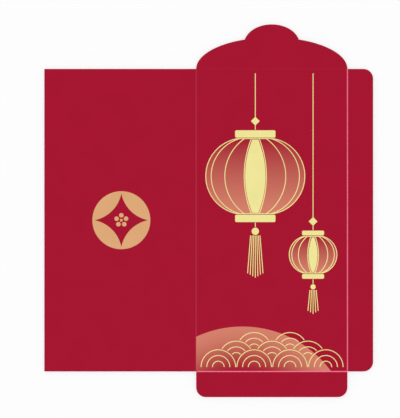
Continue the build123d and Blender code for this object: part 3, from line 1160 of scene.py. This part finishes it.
tassel_sizes = ["Centre X", "Centre Y", "Link top", "Link foot", "Bead middle", "Bead radius"]
tassel_sizes += ["Strand root", "Strand length", "Number of strands"]
tassels, sizes = new_tree("tassels", tassel_sizes)
number = add(tassels, "GeometryNodeInputIndex")
last = add(tassels, "ShaderNodeMath", {0: sizes["Number of strands"], 1: 1.0}, operation="SUBTRACT")
half = add(tassels, "ShaderNodeMath", {0: last, 1: 0.5}, operation="MULTIPLY")
aside = add(tassels, "ShaderNodeMath", {0: number, 1: half}, operation="SUBTRACT")
away = add(tassels, "ShaderNodeMath", {0: aside}, operation="ABSOLUTE")
shorter = add(tassels, "ShaderNodeMath", {0: away, 1: STRAND_STEP * MM}, operation="MULTIPLY")
drop = add(tassels, "ShaderNodeMath", {0: sizes["Strand length"], 1: shorter}, operation="SUBTRACT")
spread = add(tassels, "ShaderNodeMath", {0: aside, 1: (TIP_PITCH - ROOT_PITCH) * MM}, operation="MULTIPLY")
lean = add(tassels, "ShaderNodeMath", {0: spread, 1: drop}, operation="ARCTAN2")
slant = add(tassels, "ShaderNodeCombineXYZ", {"X": spread, "Y": drop})
long = add(tassels, "ShaderNodeVectorMath", {0: slant}, "Value", operation="LENGTH")
root_x = add(tassels, "ShaderNodeMath", {0: half, 1: -ROOT_PITCH * MM}, operation="MULTIPLY")
root_y = add(tassels, "ShaderNodeMath", {0: sizes["Strand root"], 1: -1.0}, operation="MULTIPLY")
root = add(tassels, "ShaderNodeCombineXYZ", {"X": root_x, "Y": root_y})
row = {"Count": sizes["Number of strands"], "Start Location": root, "Offset": (ROOT_PITCH * MM, 0, 0)}
unit = add(tassels, "GeometryNodeCurvePrimitiveLine", {"Start": (0, 0, 0), "End": (0, -1, 0)})
copies = {
    "Points": add(tassels, "GeometryNodeMeshLine", row),
    "Instance": foil_line(tassels, unit),
    "Rotation": add(tassels, "ShaderNodeCombineXYZ", {"Z": lean}),
    "Scale": add(tassels, "ShaderNodeCombineXYZ", {"X": 1.0, "Y": long, "Z": 1.0}),
}
strands = add(tassels, "GeometryNodeInstanceOnPoints", copies)
print(f"strands spread from {ROOT_PITCH} to {TIP_PITCH} mm apart")

# %% [markdown]
# ## Link and bead of a tassel
# The tassel hangs from the lower cap on a short link and a round bead. Both go into the strands' tree, so
# that one set of sizes draws a whole tassel.

# %% Link and bead
BEAD_STEPS = 40

drops = []
for size in ("Link top", "Link foot", "Bead middle"):
    below = add(tassels, "ShaderNodeMath", {0: sizes[size], 1: -1.0}, operation="MULTIPLY")
    drops.append(add(tassels, "ShaderNodeCombineXYZ", {"Y": below}))
link = add(tassels, "GeometryNodeCurvePrimitiveLine", {"Start": drops[0], "End": drops[1]})
bead = foil_disc(tassels, sizes["Bead radius"], BEAD_STEPS)
bead = add(tassels, "GeometryNodeTransform", {"Geometry": bead, "Translation": drops[2]})
shapes = [strands, foil_line(tassels, link), bead]
close_tree(tassels, sizes["Geometry"], shapes, pale_gold, (sizes["Centre X"], sizes["Centre Y"]))
print("tassel tree:", len(tassels.nodes), "nodes")

# %% Tassels
LINK = 3.0  # between a lantern's lower cap and its bead

size_sets = []
for lantern in lanterns:
    bead_top = lantern.cap_end + LINK
    bead_foot = bead_top + 2 * lantern.bead
    values = [lantern.x, lantern.y, lantern.cap_end + GAP, bead_top - GAP]
    values += [bead_top + lantern.bead, lantern.bead, bead_foot + GAP, lantern.tassel, lantern.strands]
    size_sets.append(dict(zip(tassel_sizes, values)))
settle(grow("lantern_tassels", tassels, size_sets, pale_gold), "front", "tassels_foil")

# %% [markdown]
# ## Waves
# Scallop waves are an old pattern: rows of half rings, each row set half a step aside behind the one in
# front. A ring that goes behind its neighbour starts where it comes out from behind it. A boolean could
# cut the hidden part away, but the angle where the circles cross is quickly worked out and leaves
# cleaner lines.

# %% Wave sizes
WAVE_RADIUS = 9.4
WAVE_RISE = 4.7
WAVE_ROWS = 3
WAVE_RINGS = 3
RING_STEP = 3.1
FRONT_ROW = 4
WAVE_PITCH = 2 * WAVE_RADIUS + LINE + GAP


def hidden_angle(ring):
    """Angle up to which a ring is hidden by the scallop beside it in the row in front."""
    reach = WAVE_RADIUS + LINE + GAP
    aside = WAVE_PITCH / 2
    level = (reach**2 - ring**2 - aside**2 - WAVE_RISE**2) / (2 * ring * math.hypot(aside, WAVE_RISE))
    return math.atan2(aside, WAVE_RISE) + math.asin(level)


print(f"outer rings hidden up to {math.degrees(hidden_angle(WAVE_RADIUS)):.0f} degrees")

# %% [markdown]
# ## Rows of waves
# The rings of a scallop are drawn once for each row, and copied along a line of points, a pitch apart.

# %% Wave tree
WAVE_POINTS = 41

wave_sizes = ["Middle", "Foot", "Radius", "Ring step", "Pitch", "Rise"]
waves, sizes = new_tree("scallop_waves", wave_sizes)
rows = []
for row in range(WAVE_ROWS):
    rings = []
    for step in range(WAVE_RINGS):
        start = hidden_angle(WAVE_RADIUS - step * RING_STEP) if row else 0.0
        inward = add(waves, "ShaderNodeMath", {0: sizes["Ring step"], 1: float(step)}, operation="MULTIPLY")
        radius = add(waves, "ShaderNodeMath", {0: sizes["Radius"], 1: inward}, operation="SUBTRACT")
        span = {"Start Angle": start, "Sweep Angle": math.pi - 2 * start}
        arc = {"Resolution": WAVE_POINTS, "Radius": radius, **span}
        rings.append(foil_line(waves, add(waves, "GeometryNodeCurveArc", arc, mode="RADIUS")))
    count = FRONT_ROW - row
    first_x = add(waves, "ShaderNodeMath", {0: sizes["Pitch"], 1: -(count - 1) / 2}, operation="MULTIPLY")
    first_x = add(waves, "ShaderNodeMath", {0: sizes["Middle"], 1: first_x}, operation="ADD")
    level = add(waves, "ShaderNodeMath", {0: sizes["Rise"], 1: float(row)}, operation="MULTIPLY")
    level = add(waves, "ShaderNodeMath", {0: sizes["Foot"], 1: level}, operation="ADD")
    first = add(waves, "ShaderNodeCombineXYZ", {"X": first_x, "Y": level})
    pitch = add(waves, "ShaderNodeCombineXYZ", {"X": sizes["Pitch"]})
    places = add(waves, "GeometryNodeMeshLine", {"Count": count, "Start Location": first, "Offset": pitch})
    scallop = add(waves, "GeometryNodeJoinGeometry", {"Geometry": rings})
    rows.append(add(waves, "GeometryNodeInstanceOnPoints", {"Points": places, "Instance": scallop}))
close_tree(waves, sizes["Geometry"], rows, pale_gold)
print("wave tree:", len(waves.nodes), "nodes")

# %% Waves
wave_middle = (face_low.x + face_high.x) / 2 / MM
wave_foot = face_low.y / MM + EDGE_MARGIN
values = dict(zip(wave_sizes, [wave_middle, wave_foot, WAVE_RADIUS, RING_STEP, WAVE_PITCH, WAVE_RISE]))
settle(grow("scallop_waves", waves, [values], pale_gold), "front", "wave_foil")

# %% [markdown]
# ## Blossom
# Five petals and a heart in the middle of the coin, all round pieces of foil. They could be placed one by
# one, but the corners of a five-sided ring carry the petals at once.

# %% Blossom
PETALS = 5
PETAL_RADIUS = 1.25
PETAL_RING = 2.7
HEART_RADIUS = 0.8
PETAL_STEPS = 36

blossom_sizes = ["Centre X", "Petal radius", "Ring radius", "Heart radius", "Number of petals"]
blossom, sizes = new_tree("blossom", blossom_sizes)
petal = foil_disc(blossom, sizes["Petal radius"], PETAL_STEPS)
heart = foil_disc(blossom, sizes["Heart radius"], PETAL_STEPS)
ring = {"Vertices": sizes["Number of petals"], "Radius": sizes["Ring radius"]}
ring = add(blossom, "GeometryNodeMeshCircle", ring)
ring = add(blossom, "GeometryNodeTransform", {"Geometry": ring, "Rotation": (0, 0, math.pi / 2)})
petals = add(blossom, "GeometryNodeInstanceOnPoints", {"Points": ring, "Instance": petal})
close_tree(blossom, sizes["Geometry"], [petals, heart], rose_gold, (sizes["Centre X"], 0.0))

values = dict(zip(blossom_sizes, [COIN_X, PETAL_RADIUS, PETAL_RING, HEART_RADIUS, PETALS]))
settle(grow("blossom_stamp", blossom, [values], rose_gold), "back", "coin_blossom_foil")

# %% [markdown]
# ## Dried glue
# Two bands of glue on the unprinted side close the envelope: one along the back panel's free edge, one
# along the bottom flap. A roller lays it on, so its surface is finely stippled, and it dries glossy and
# a little yellow.

# %% Glue finish
GLUE_STIPPLE = 1.3
GLUE_CLOUD = 5.0
GLUE_DARK = "#DDD0A8"
GLUE_LIGHT = "#EBE2C6"
GLUE_ROUGH = (0.18, 0.38)
STIPPLE_DEPTH = 0.03 * MM
STIPPLE_BUMP = 0.6

# Dried glue: a clear, slightly yellow gloss over the paper.
dried_glue = new_material("dried_glue")
tree = dried_glue.node_tree
place = add(tree, "ShaderNodeTexCoord", out="Object")
cloud = add(tree, "ShaderNodeTexNoise", {"Vector": place, "Scale": per(GLUE_CLOUD), "Detail": MOTTLED})
layers = {FACTOR: cloud, COLOUR_A: linear(GLUE_DARK), COLOUR_B: linear(GLUE_LIGHT)}
colour = add(tree, "ShaderNodeMix", layers, MIXED, data_type="RGBA")
stipple = add(tree, "ShaderNodeTexNoise", {"Vector": place, "Scale": per(GLUE_STIPPLE), "Detail": SMOOTH})
coat(tree, colour, stipple, GLUE_ROUGH, STIPPLE_BUMP, STIPPLE_DEPTH)
print("made", dried_glue.name)

# %% [markdown]
# ## Glue bands
# A band with ruled edges would look like tape, so each point of its outline is drawn in by a small
# amount of its own. The draws have a fixed seed, and the bands come out the same each time.

# %% Glue bands
GLUE_PROUD = 0.02 * MM
GLUE_STEP = 2.0
GLUE_WANDER = 0.25
GLUE_SEED = 11
draw = random.Random(GLUE_SEED)


def glue_outline(node):
    """Outline of a band inside its CAD node's box, in millimetres."""
    low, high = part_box(node)
    corners = [(low.x, low.y), (high.x, low.y), (high.x, high.y), (low.x, high.y)]
    loop = []
    for place, (x, y) in enumerate(corners):
        next_x, next_y = corners[(place + 1) % len(corners)]
        long = math.hypot(next_x - x, next_y - y)
        along_x, along_y = (next_x - x) / long, (next_y - y) / long
        steps = round(long / MM / GLUE_STEP)
        for step in range(steps):
            share = step / steps
            inward = draw.random() * GLUE_WANDER
            point_x = (x + (next_x - x) * share) / MM - along_y * inward
            point_y = (y + (next_y - y) * share) / MM + along_x * inward
            loop.append((point_x, point_y))
    return loop


for node, body in (("seam_glue", "back"), ("bottom_glue", "bottom")):
    band = flat_film(f"{node}_band", [glue_outline(node)], -GLUE_PROUD, GLUE_PROUD, dried_glue)
    settle(band, body, node)
